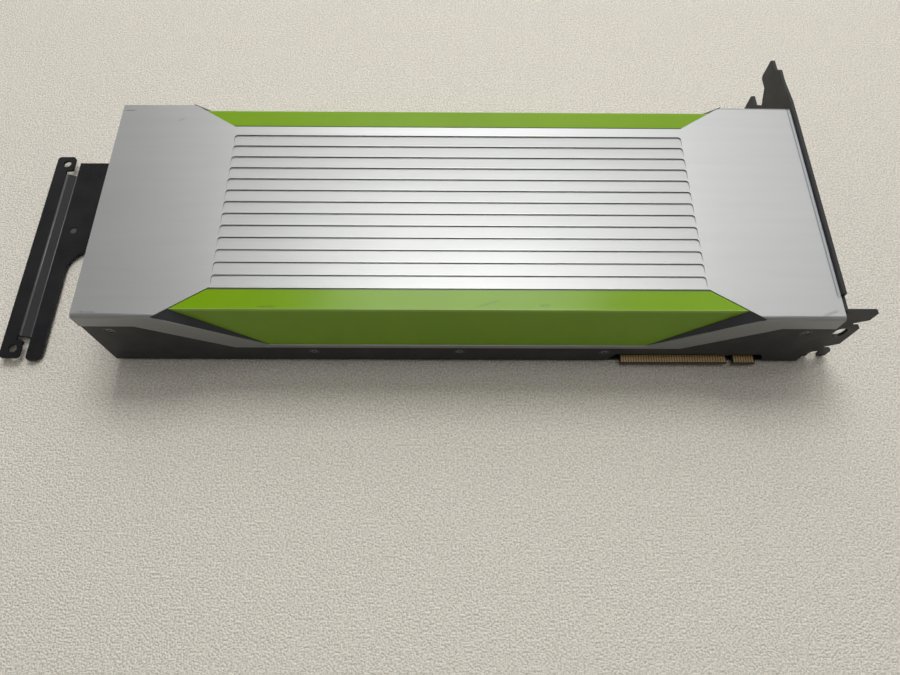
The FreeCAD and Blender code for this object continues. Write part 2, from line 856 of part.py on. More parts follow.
def memory_pads():
    """Each pad covers one group of four packages."""
    long = "3 * memory_pitch + memory_length"
    x = f"gpu_x - ({long}) / 2"
    return {
        "memory_pad_near": ((x, "gpu_y - memory_row - memory_width / 2"), (long, "memory_width")),
        "memory_pad_far": ((x, "gpu_y + memory_row - memory_width / 2"), (long, "memory_width")),
        "memory_pad_end": (
            ("gpu_x + memory_column - memory_width / 2", f"gpu_y - ({long}) / 2"),
            ("memory_width", long),
        ),
    }


def make_supply():
    count = int(value("choke_count"))
    middles = [f"choke_first + {index} * choke_pitch" for index in range(count)]
    for number, y in enumerate(middles, start=1):
        start = ("choke_x", f"{y} - choke_width / 2", BOARD_TOP)
        block(f"choke_{number:02d}", start, ("choke_length", "choke_width", "choke_height"))
    low = "choke_first - choke_width / 2"
    run = "(choke_count - 1) * choke_pitch + choke_width"
    choke_top = f"{BOARD_TOP} + choke_height"
    block("choke_pad", ("choke_x", low, choke_top), ("choke_length", run, f"deck_level - ({choke_top})"))
    stage = doc.addObject("Part::Box", "power_stage")
    bind(stage, "Length", "stage_length")
    bind(stage, "Width", "stage_width")
    bind(stage, "Height", "stage_height")
    copies("power_stages", stage, [("stage_x", f"{y} - stage_width / 2", BOARD_TOP) for y in middles])
    low = "choke_first - stage_width / 2"
    run = "(choke_count - 1) * choke_pitch + stage_width"
    stage_top = f"{BOARD_TOP} + stage_height"
    block("power_stage_pad", ("stage_x", low, stage_top), ("stage_length", run, "stage_pad_skin"))
    capacitor = doc.addObject("Part::Box", "capacitor")
    bind(capacitor, "Length", "capacitor_length")
    bind(capacitor, "Width", "capacitor_width")
    bind(capacitor, "Height", "capacitor_height")
    row = [f"capacitor_first + {index} * capacitor_pitch" for index in range(8)]
    copies("capacitors", capacitor, [("capacitor_x", y, BOARD_TOP) for y in row])


# Base plate and heatsink


def make_base_plate():
    body = new_body("base_plate")
    rear, front = "deck_gap", from_end("deck_gap")
    near, far = PANEL_INNER, across(PANEL_INNER)
    gap_low = "socket_start - socket_gap"
    gap_high = "socket_start + socket_width + socket_gap"
    gap_end = f"{SOCKET_START_X} + socket_depth + socket_gap"
    deck = [
        (rear, near),
        (front, near),
        (front, far),
        (rear, far),
        (rear, gap_high),
        (gap_end, gap_high),
        (gap_end, gap_low),
        (rear, gap_low),
    ]
    prism(body, "XY", "deck_level", "deck_skin", [deck])
    ribs = [
        box_outline(rear, near, front, f"{near} + rib_wall"),
        box_outline(rear, f"{far} - rib_wall", front, far),
    ]
    below = f"deck_level - ({BOARD_TOP})"
    prism(body, "XY", BOARD_TOP, below, ribs)
    bars = []
    for (x, y), (length, width) in memory_pads().values():
        bars.append(box_outline(x, y, f"{x} + {length}", f"{y} + {width}"))
    prism(body, "XY", MEMORY_BOSS, f"deck_level - ({MEMORY_BOSS})", bars)
    run = "(choke_count - 1) * choke_pitch + stage_width / 2"
    low, high = "choke_first - stage_width / 2", f"choke_first + {run}"
    stages = box_outline("stage_x", low, "stage_x + stage_length", high)
    prism(body, "XY", STAGE_BOSS, f"deck_level - ({STAGE_BOSS})", [stages])
    posts = [
        box_outline(rear, near, f"{rear} + post_length", f"{near} + post_width"),
        box_outline(rear, f"{far} - post_width", f"{rear} + post_length", far),
        box_outline(f"{front} - post_length", near, BRACKET_START, f"{near} + end_post_width"),
        box_outline(f"{front} - post_length", f"{far} - end_post_width", BRACKET_START, far),
    ]
    prism(body, "XY", "deck_level", "post_top - deck_level", posts)
    places = fastener_places() + extender_screw_places()
    bosses = [
        box_outline(f"{x} - boss_half", f"{y} - boss_half", f"{x} + boss_half", f"{y} + boss_half")
        for x, y in places
    ]
    prism(body, "XY", BOARD_TOP, below, bosses)
    window = box_outline(
        "gpu_x - window_half", "gpu_y - window_half", "gpu_x + window_half", "gpu_y + window_half"
    )
    prism(body, "XY", MEMORY_BOSS, f"{DECK_TOP} - ({MEMORY_BOSS})", [window], cut=True)
    prism(body, "XY", BOARD_TOP, below, shank_holes(places, "pilot_gap"), cut=True)
    sides = [polygon(x, z, "screw_radius + pilot_gap") for x, z in side_screw_places()]
    prism(body, "XZ", near, "screw_length", sides, cut=True)
    prism(body, "XZ", f"{far} - screw_length", "screw_length", sides, cut=True)
    ends = shank_holes(bracket_screw_places(), "pilot_gap")
    prism(body, "YZ", f"{BRACKET_START} - rod_length", "rod_length", ends, cut=True)
    place_node(body)


def make_heatsink():
    chamber = new_body("vapour_chamber")
    plate = box_outline("chamber_start", "chamber_inset", "chamber_end", across("chamber_inset"))
    prism(chamber, "XY", DECK_TOP, "chamber_skin", [plate])
    length = "(die_length / 2 + pedestal_margin)"
    width = "(die_width / 2 + pedestal_margin)"
    pedestal = box_outline(f"gpu_x - {length}", f"gpu_y - {width}", f"gpu_x + {length}", f"gpu_y + {width}")
    prism(chamber, "XY", PEDESTAL_LEVEL, f"{DECK_TOP} - ({PEDESTAL_LEVEL})", [pedestal])
    below = f"{DECK_TOP} - ({BOARD_TOP})"
    standoffs = [polygon(x, y, "standoff_radius", 6) for x, y in retention_places()]
    prism(chamber, "XY", BOARD_TOP, below, standoffs)
    prism(chamber, "XY", BOARD_TOP, below, shank_holes(retention_places(), "pilot_gap"), cut=True)
    place_node(chamber)

    # Zipped fins: plates whose folded upper and lower edges close into one skin above and below.
    fins = new_body("fin_stack")
    half = "(fin_count * fin_pitch + fin_skin) / 2"
    start = f"card_width / 2 - {half}"
    section = box_outline(start, FIN_LEVEL, f"card_width / 2 + {half}", FIN_TOP)
    prism(fins, "YZ", "fin_start", "fin_end - fin_start", [section])
    channel = box_outline(
        f"{start} + fin_skin", f"{FIN_LEVEL} + fin_skin", f"{start} + fin_pitch", f"{FIN_TOP} - fin_skin"
    )
    slot = prism(fins, "YZ", "fin_start", "fin_end - fin_start", [channel], cut=True)
    repeat(fins, slot, "Y_Axis", "fin_pitch", "fin_count")
    place_node(fins)


# Underside


def make_backplate():
    body = new_body("backplate")
    rear, front = "backplate_start", from_end("backplate_end_gap")
    near, far = "backplate_inset", "backplate_edge"
    corner = "backplate_corner"
    edge = [
        (f"{rear} + {corner}", near),
        (f"{front} - {corner}", near),
        (front, f"{near} + {corner}"),
        (front, f"{far} - {corner}"),
        (f"{front} - {corner}", far),
        (f"{rear} + {corner}", far),
        (rear, f"{far} - {corner}"),
        (rear, f"{near} + {corner}"),
    ]
    half = "backplate_window"
    window = box_outline(f"gpu_x - {half}", f"gpu_y - {half}", f"gpu_x + {half}", f"gpu_y + {half}")
    prism(body, "XY", "0", "backplate_skin", [edge, window])
    # A raised rail along each row of screws carries the board.
    rails = []
    for line in (str("fastener_inset"), across("fastener_inset")):
        low, high = f"{line} - backplate_rail", f"{line} + backplate_rail"
        rails.append(box_outline(f"{rear} + {corner}", low, f"{front} - {corner}", high))
    prism(body, "XY", "0", "board_level", rails)
    places = fastener_places()
    prism(body, "XY", "0", "board_level", shank_holes(places, "2 * seam"), cut=True)
    seats = [head_outline(x, y, "rod_head + seam") for x, y in places]
    prism(body, "XY", "0", "rod_head_height + seam", seats, cut=True)
    place_node(body)


def make_retention():
    body = new_body("retention_plate")
    reach, arm = "retention_reach", "retention_arm"
    quarter = [(reach, reach), (reach, f"({reach} - {arm})"), (arm, "0"), (reach, f"-({reach} - {arm})")]
    turned = []
    for turn in (0, 1, 2, 3):
        for x, y in quarter:
            for _ in range(turn):
                x, y = y, f"-({x})"
            turned.append((f"gpu_x + ({x})", f"gpu_y + ({y})"))
    prism(body, "XY", "board_level - retention_skin", "retention_skin", [turned])
    holes = shank_holes(retention_places(), "2 * seam")
    prism(body, "XY", "board_level - retention_skin", "retention_skin", holes, cut=True)
    place_node(body)


def make_board_screws():
    source = screw("board_screw", "rod_head", "rod_head_height", "rod_radius", "rod_length")
    backplate = [(x, y, "seam") for x, y in fastener_places()]
    copies("backplate_screws", source, backplate)
    level = "board_level - retention_skin - rod_head_height"
    copies("retention_screws", source, [(x, y, level) for x, y in retention_places()])
    level = "board_level - extender_skin - rod_head_height"
    copies("extender_screws", source, [(x, y, level) for x, y in extender_screw_places()])
    outside = f"{BRACKET_FACE} + rod_head_height"
    turn = Rotation(Vector(0, 1, 0), -90)
    copies("bracket_screws", source, [(outside, y, z) for y, z in bracket_screw_places()], turn)


# Supply socket


def make_socket():
    body = new_body("power_connector")
    end = f"{SOCKET_START_X} + socket_depth"
    side = "socket_start + socket_width"
    prism(body, "XY", BOARD_TOP, "socket_height", [box_outline(SOCKET_START_X, "socket_start", end, side)])
    middle = "(socket_start + socket_width / 2)"
    low, high = f"{middle} - latch_width / 2", f"{middle} + latch_width / 2"
    latch = box_outline(SOCKET_START_X, low, f"{SOCKET_START_X} + latch_length", high)
    prism(body, "XY", f"{BOARD_TOP} + socket_height", "latch_height", [latch])
    cavities = []
    for x, z in pin_places(1):
        half = "pin_cavity / 2"
        cavities.append(box_outline(f"{x} - {half}", f"{z} - {half}", f"{x} + {half}", f"{z} + {half}"))
    row = prism(body, "YZ", SOCKET_START_X, "pin_cavity_depth", cavities, cut=True)
    repeat(body, row, "Y_Axis", "pin_pitch", "4")
    place_node(body)
    pin = doc.addObject("Part::Box", "power_pin")
    bind(pin, "Length", "pin_length")
    bind(pin, "Width", "pin_width")
    bind(pin, "Height", "pin_width")
    tip = f"{SOCKET_START_X} + pin_cavity_depth - pin_length"
    half = "pin_width / 2"
    copies("power_pins", pin, [(tip, f"{y} - {half}", f"{z} - {half}") for y, z in pin_places(4)])


def pin_places(columns):
    """Middles of the socket's cavities, in two rows."""
    first = "socket_start + socket_width / 2 - 1.5 * pin_pitch"
    middle = f"{BOARD_TOP} + socket_height / 2"
    places = []
    for column in range(columns):
        for row in ("- pin_pitch / 2", "+ pin_pitch / 2"):
            places.append((f"{first} + {column} * pin_pitch", f"{middle} {row}"))
    return places


# Slot bracket


def bracket_screw_places():
    middle = "tab_inset + bracket_skin + rod_head + bracket_screw_gap"
    return [(middle, "bracket_screw_level"), (across(middle), "bracket_screw_level")]


def vent_outline(low):
    """A tall vent with pointed ends."""
    left, right = "vent_first - vent_width / 2", "vent_first + vent_width / 2"
    high = f"{low} + vent_length"
    return [
        ("vent_first", low),
        (right, f"{low} + vent_point"),
        (right, f"{high} - vent_point"),
        ("vent_first", high),
        (left, f"{high} - vent_point"),
        (left, f"{low} + vent_point"),
    ]


def make_bracket():
    body = new_body("bracket")
    low = f"{BRACKET_TOP} - bracket_span"
    tab_top = "tab_low + tab_span"
    relief = "tab_inset + tab_relief"
    root = f"{TAIL_TIP} - tail_length"
    upper = "card_height - tail_center"
    lower = f"{upper} - slot_pitch"
    half = "tail_width / 2"
    shoulder = f"{TAIL_TIP} - tail_shoulder"
    tail_corners = [(TAIL_TIP, f"{mid} {sign} {half}") for mid in (lower, upper) for sign in "-+"]
    plate = [
        ("tab_inset", "tab_low"),
        (relief, "tab_low"),
        (relief, low),
        (shoulder, low),
        (root, f"{lower} - {half}"),
        tail_corners[0],
        tail_corners[1],
        (root, f"{lower} + {half}"),
        (f"{root} - tail_valley", f"{upper} - slot_pitch / 2"),
        (root, f"{upper} - {half}"),
        tail_corners[2],
        tail_corners[3],
        (root, f"{upper} + {half}"),
        (shoulder, "card_height"),
        (f"{TAIL_TIP} - taper_end", "card_height"),
        (f"{TAIL_TIP} - taper_start", BRACKET_TOP),
        (relief, BRACKET_TOP),
        (relief, tab_top),
        ("tab_inset", tab_top),
    ]
    prism(body, "YZ", BRACKET_START, "bracket_skin", [plate])
    outer = f"{BRACKET_START} + tab_reach"
    tab = box_outline(BRACKET_START, "tab_low", outer, tab_top)
    prism(body, "XZ", "tab_inset", "bracket_skin", [tab])
    round_edges(body, "bracket_bend", 2, [(BRACKET_START, "tab_inset")])
    round_edges(body, "tab_corner", 1, [(outer, tab_top)])
    round_edges(body, "tail_round", 0, tail_corners)
    # Each slot position has a screw slot in the tab and a notch in its outer edge.
    middle = f"{BRACKET_START} + tab_slot_offset"
    for step in ("", " - slot_pitch"):
        top = f"{tab_top} - tab_slot_top{step}"
        slot = (middle, f"{top} - tab_slot_length", top, "tab_slot_radius")
        prism(body, "XZ", "tab_inset", "bracket_skin", slots=[slot], cut=True)
        notch = [
            (f"{outer} + 1", f"{tab_top} - tab_notch_top{step}"),
            (outer, f"{tab_top} - tab_notch_top{step}"),
            (f"{outer} - tab_notch_depth", f"{tab_top} - tab_notch_neck{step}"),
            (f"{outer} - tab_notch_depth + 1", f"{tab_top} - tab_notch_low{step}"),
            (f"{outer} + 1", f"{tab_top} - tab_notch_low{step}"),
        ]
        prism(body, "XZ", "tab_inset", "bracket_skin", [notch], cut=True)
    below = [(outer, f"{tab_top} - tab_notch_low{step}") for step in ("", " - slot_pitch")]
    round_edges(body, "tab_corner", 1, below + [(outer, "tab_low")])
    # Two rows of vents, one for each slot position.
    rows = [vent_outline("vent_low"), vent_outline("vent_low + vent_length + vent_gap")]
    vents = prism(body, "YZ", BRACKET_START, "bracket_skin", rows, cut=True)
    repeat(body, vents, "Y_Axis", "vent_pitch", "vent_count")
    holes = shank_holes(bracket_screw_places(), "2 * seam")
    prism(body, "YZ", BRACKET_START, "bracket_skin", holes, cut=True)
    place_node(body)


# Extender


def make_extender():
    body = new_body("extender")
    rear = "-extender_reach"
    jog = f"{rear} + strip_width"
    plate_edge = f"{jog} + jog_run"
    low = "board_level - extender_skin"
    strip_top = f"{STRIP_LEVEL} + extender_skin"
    first = "strip_low + lug_length + lug_relief"
    last = "strip_high - lug_length - lug_relief"
    # The jog takes the sheet down from the strip to the plate, with a rounded bend at each end.
    under_high = f"{jog} - extender_skin / 2"
    under_low = f"{plate_edge} - extender_skin / 2"
    section = [
        (f"{jog} - jog_room", STRIP_LEVEL),
        (under_high, STRIP_LEVEL),
        (under_low, low),
        (f"{plate_edge} + jog_room", low),
        (f"{plate_edge} + jog_room", "board_level"),
        (plate_edge, "board_level"),
        (jog, strip_top),
        (f"{jog} - jog_room", strip_top),
    ]
    prism(body, "XZ", first, f"{last} - ({first})", [section])
    round_edges(body, "jog_bend", 1, [(jog, strip_top), (under_low, low)])
    inside = "jog_bend - extender_skin"
    round_edges(body, inside, 1, [(under_high, STRIP_LEVEL), (plate_edge, "board_level")])
    lug = f"{rear} + lug_width"
    strip = [
        (rear, "strip_low"),
        (lug, "strip_low"),
        (lug, "strip_low + lug_length"),
        (f"{jog} - jog_room", "strip_low + lug_length"),
        (f"{jog} - jog_room", "strip_high - lug_length"),
        (lug, "strip_high - lug_length"),
        (lug, "strip_high"),
        (rear, "strip_high"),
    ]
    prism(body, "XY", STRIP_LEVEL, "extender_skin", [strip])
    leg = f"{plate_edge} + leg_width"
    plate = [
        (plate_edge, "leg_low"),
        (leg, "leg_low"),
        (leg, "tongue_low"),
        ("tongue_end", "tongue_low"),
        ("tongue_end", "tongue_high"),
        (plate_edge, "tongue_high"),
    ]
    prism(body, "XY", low, "extender_skin", [plate])
    round_edges(body, "tongue_round", 2, [(leg, "tongue_low")])
    round_edges(body, "leg_round", 2, [(leg, "leg_low")])
    corners = [(rear, "strip_low"), (lug, "strip_low"), (rear, "strip_high"), (lug, "strip_high")]
    round_edges(body, "lug_round", 2, corners + [(plate_edge, "leg_low")])
    inner = [(lug, "strip_low + lug_length"), (lug, "strip_high - lug_length")]
    round_edges(body, "relief_round", 2, inner)
    middle = f"{rear} + lug_hole_offset"
    lugs = [
        (middle, "strip_low + lug_hole_inset", "lug_hole_radius"),
        (middle, "strip_high - lug_hole_inset", "lug_hole_radius"),
    ]
    prism(body, "XY", STRIP_LEVEL, "extender_skin", circles=lugs, cut=True)
    dimple = [(f"{plate_edge} + dimple_offset", "dimple_y", "dimple_radius")]
    prism(body, "XY", "board_level - dimple_depth", "dimple_depth", circles=dimple, cut=True)
    holes = shank_holes(extender_screw_places(), "2 * seam")
    prism(body, "XY", low, "extender_skin", holes, cut=True)
    place_node(body)


def make_all():
    make_cover()
    make_trim("trim_near", str)
    make_trim("trim_far", across)
    make_side_panel("side_panel_near", str, "panel_foot", bridge_gap=True)
    make_side_panel("side_panel_far", across, BOARD_TOP, bridge_gap=False)
    make_side_screws()
    make_circuit_board()
    make_contacts()
    make_processor()
    make_memory()
    make_supply()
    make_base_plate()
    make_heatsink()
    make_backplate()
    make_retention()
    make_board_screws()
    make_socket()
    make_bracket()
    make_extender()


def check_document():
    """Stop on any failed object or unsound shape."""
    for item in doc.Objects:
        if "Invalid" in item.State or "Error" in item.State:
            raise RuntimeError(f"{item.Label} failed: {item.State}")
    for item in nodes:
        if item.Shape.isNull() or not item.Shape.isValid():
            raise RuntimeError(f"{item.Label} has no valid shape")


make_all()
doc.recompute()
check_document()
os.makedirs("parts", exist_ok=True)
for item in nodes:
    item.Shape.exportStep(f"parts/{item.Label}.step")
print(len(nodes), "nodes written")
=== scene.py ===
"""A passive dual-slot accelerator card, lying on its backplate on a pale mat, cover up.

The CAD nodes keep their places and meshes. This script gives them their finishes and narrow
rounded edges, and adds the floor, the room, the lamps and the camera.
"""

import math

import bmesh
import bpy
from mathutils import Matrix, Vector


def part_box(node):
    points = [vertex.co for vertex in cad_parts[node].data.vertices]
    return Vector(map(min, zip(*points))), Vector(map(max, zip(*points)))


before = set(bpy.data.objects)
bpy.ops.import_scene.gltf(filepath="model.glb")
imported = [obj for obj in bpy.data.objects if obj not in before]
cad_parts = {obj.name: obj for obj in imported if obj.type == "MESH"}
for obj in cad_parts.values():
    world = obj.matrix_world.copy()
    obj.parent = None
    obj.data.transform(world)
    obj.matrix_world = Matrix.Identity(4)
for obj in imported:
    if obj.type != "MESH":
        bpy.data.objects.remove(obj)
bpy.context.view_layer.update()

MM = 0.001
COVER_LOW, COVER_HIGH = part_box("cover")

# Camera: place and near limit in metres, turn in degrees, lens and sensor in millimetres
CAMERA_PLACE = (0.011355, -0.164954, 0.246109)
CAMERA_TURN = (24.8304, -0.4393, 0.0284)
CAMERA_LENS = 27.005
CAMERA_SENSOR = 36.0
CAMERA_NEAR = 0.01

# Lamps: place and size in metres, power in watts
LAMPS = {
    "window": ((0.05, 0.62, 1.2), (0.6, 0.5), 7.4),
    "wall": ((0.1, 1.25, 0.9), (1.5, 0.7), 4.9),
    "left": ((-1.3, 0.7, 0.8), (1.0, 1.0), 1.1),
    "right": ((1.1, 0.7, 1.3), (1.0, 1.0), 4.0),
    "overhead": ((0.0, -0.2, 1.8), (1.2, 1.2), 7.2),
}
LAMP_TARGET = (0, 0, 0)

# The room's brightness: for all light, where metal mirrors its low front and back walls, and
# for the camera. The two ranges are parts of a unit direction.
ROOM_TINT = (1.0, 0.97, 0.92)
ROOM_FILL = 0.05
ROOM_FRONT = 0.45
ROOM_BACK = 0.60
BACKDROP = 0.60
FRONT_TO_BACK = (-0.6, 0.1)
DARK_TO_WALL = (0.58, 0.32)

# The floor's width, and the glow on it that only the camera sees: the distances from the
# object's middle at which it starts and is full, in metres
FLOOR_SIZE = 8.0
GLOW_START = 0.45
GLOW_FULL = 2.3
GLOW_STRENGTH = 0.52

# Colours as linear red, green and blue
ALUMINIUM = (0.445, 0.45, 0.445)
ALUMINIUM_FLANGE_SHADE = (0.285, 0.29, 0.29)
ALUMINIUM_PAINTED_SHADE = (0.25, 0.262, 0.275)
ALUMINIUM_PAINTED_GLINT = (0.62, 0.64, 0.66)
DARK_MARK = (0.16, 0.16, 0.16)
PALE_MARK = (0.40, 0.41, 0.42)
GREEN = (0.225, 0.42, 0.0065)
GREEN_FOLD_PALE = (0.34, 0.53, 0.09)
GREEN_RUBBED = (0.10, 0.16, 0.03)
GREEN_NEAR_SEAM_SHADE = (0.13, 0.19, 0.06)
GREEN_FAR_SEAM_SHADE = (0.06, 0.09, 0.02)
PANEL_BLACK = (0.0145, 0.0158, 0.018)
PANEL_FACET = (0.048, 0.050, 0.053)
PANEL_RING = (0.07, 0.07, 0.068)
BRACKET_BLACK = (0.02, 0.02, 0.0198)
BACKPLATE_BLACK = (0.02, 0.02, 0.022)
EXTENDER_BLACK = (0.011, 0.011, 0.013)
EXTENDER_BEND_HIGHLIGHT = (0.06, 0.06, 0.063)
EXTENDER_RUBBED = (0.10, 0.10, 0.095)
SIDE_SCREW_BLACK = (0.03, 0.03, 0.032)
SCREW_STEEL = (0.42, 0.42, 0.43)
SCREW_RIM = (0.3, 0.3, 0.3)
SCREW_RECESS_SHADE = (0.004, 0.004, 0.004)
BOARD_GREEN = (0.012, 0.020, 0.014)
GOLD = (0.95, 0.68, 0.36)
PIN_METAL = (0.66, 0.64, 0.58)
FIN_METAL = (0.62, 0.63, 0.64)
MAT = (1.0, 0.94, 0.825)

# How far a face looks up, from 1 for level to 0 for upright: where each effect is none and full
FLANGE_SHADE_SLOPE = (0.85, 0.6)
FACET_SLOPE = (0.2, 0.5)
BEND_HIGHLIGHT_SLOPE = (0.999, 0.992)
JOG_SLOPE = (0.925, 0.915)
OFF_JOG_SLOPE = (0.915, 0.925)

# Handling marks: start and end on the cover and half width in millimetres, colour, strength
COVER_MARKS = (
    ((0.5, 92.0), (5.5, 92.0), 0.35, DARK_MARK, 0.8),
    ((23.0, 86.7), (25.2, 88.2), 0.3, DARK_MARK, 0.6),
    ((5.0, 83.0), (6.2, 83.0), 0.5, PALE_MARK, 0.5),
    ((2.0, 1.9), (8.8, 1.9), 0.3, DARK_MARK, 0.7),
    ((13.0, 18.5), (19.9, 19.8), 0.4, PALE_MARK, 0.5),
    ((259.5, 1.6), (264.4, 3.4), 0.7, DARK_MARK, 0.5),
)
TRIM_MARKS = (
    ((63.4, 4.5), (69.9, 4.5), 0.5, GREEN_RUBBED, 0.5),
    ((138.9, 4.4), (147.6, 7.2), 0.6, GREEN_RUBBED, 0.35),
    ((161.4, 5.3), (164.9, 5.3), 0.7, GREEN_RUBBED, 0.4),
)

# Where the tints lie: painted shade along the seams and a paler band along the folds of the
# trims, a painted reflection and highlight on the cover's end beside the bracket's lip, rings
# about the screws with painted shade in their recesses, and the extender's dimple. The dimple's
# place is counted from the extender's rear end and the cover's near side.
WAIST_INSET = 11.66 * MM
SEAM_OVERLAP = 0.1 * MM
NEAR_SEAM = 0.5 * MM
FAR_SEAM = 0.6 * MM
SEAM_FADE = 0.3 * MM
FOLD_BEFORE = 0.1 * MM
FOLD_AFTER = 0.2 * MM
FINE_FADE = 0.1 * MM
LIP_SHADE = 1.4 * MM
LIP_GLINT = 0.75 * MM
LIP_GLINT_FADE = 0.2 * MM
PAST_EDGE = 1.0 * MM
PANEL_RING_SPAN = (1.75 * MM, 2.1 * MM)
PANEL_RING_FADE = 0.15 * MM
RIM_WIDTH = 0.2 * MM
SIDE_RECESS = 0.85 * MM
STEEL_RECESS = 1.1 * MM
RECESS_FADE = 0.15 * MM
RECESS_SLOPE = 0.2 * MM
RECESS_DEPTH = 0.3 * MM
DIMPLE = (14.4 * MM, 59.3 * MM)
DIMPLE_SPAN = (0.9 * MM, 1.7 * MM)

# Rounded edges: their widths, and what counts as an edge, in degrees
EDGES = {
    "cover": 0.12 * MM,
    "trim_near": 0.25 * MM,
    "trim_far": 0.25 * MM,
    "extender": 0.15 * MM,
}
EDGE_SEGMENTS = 2
EDGE_ANGLE = 40
WELD_GAP = 0.001 * MM


# Node helpers


class Nodes:
    """A node tree and the few nodes that everything here is made from."""

    def __init__(self, tree):
        self.tree = tree

    def node(self, kind, **settings):
        made = self.tree.nodes.new(kind)
        for label, setting in settings.items():
            setattr(made, label, setting)
        return made

    def link(self, source, target):
        self.tree.links.new(source, target)

    def math(self, operation, a, b=0.0):
        """One operation on two values, each a socket or a number."""
        made = self.node("ShaderNodeMath", operation=operation)
        for index, value in enumerate((a, b)):
            if isinstance(value, (int, float)):
                made.inputs[index].default_value = value
            else:
                self.link(value, made.inputs[index])
        return made.outputs[0]

    def scaled(self, value, low, high, to_low, to_high):
        """Stretch low to high onto to_low to to_high, and hold it there beyond them."""
        made = self.node("ShaderNodeMapRange", clamp=True)
        for index, number in enumerate((low, high, to_low, to_high), start=1):
            made.inputs[index].default_value = number
        self.link(value, made.inputs[0])
        return made.outputs[0]

    def between(self, value, low, high, fade):
        """1 from low to high, fading to 0 on both sides."""
        rise = self.scaled(value, low - fade, low, 0.0, 1.0)
        fall = self.scaled(value, high, high + fade, 1.0, 0.0)
        return self.math("MULTIPLY", rise, fall)

    def part(self, vector, axis):
        """One coordinate of a vector."""
        split = self.node("ShaderNodeSeparateXYZ")
        self.link(vector, split.inputs[0])
        return split.outputs[axis]


